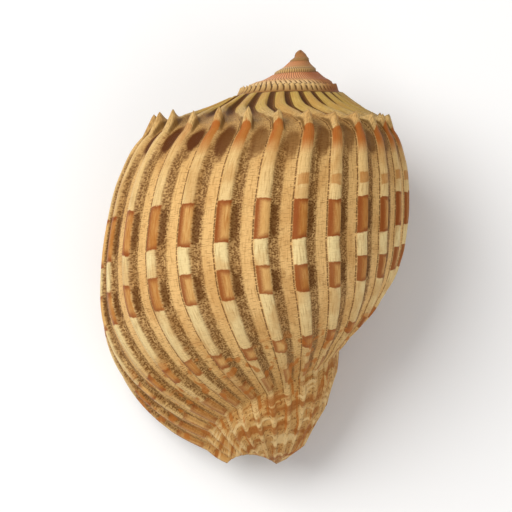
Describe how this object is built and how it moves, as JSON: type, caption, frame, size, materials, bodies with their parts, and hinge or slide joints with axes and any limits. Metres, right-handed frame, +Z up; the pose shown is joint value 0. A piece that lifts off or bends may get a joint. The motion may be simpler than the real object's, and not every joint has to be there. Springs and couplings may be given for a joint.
{
  "type": "harp shell",
  "caption": "Close-ribbed harp shell lying on its mouth: a swollen spiral sea shell with a short pointed spire, thin raised ribs with small points, and a notched lower end.",
  "frame": {"origin": "on the surface it lies on, under the middle of the shell's length and width", "axes": "+Y towards the tip of the spire, +Z up through the back of the shell, so the mouth faces down on the -X side"},
  "size_m": [0.0582, 0.0774, 0.0452],
  "materials": {
    "shell": "satin"
  },
  "bodies": {
    "root": {"shell": "shell"}
  },
  "joints": []
}
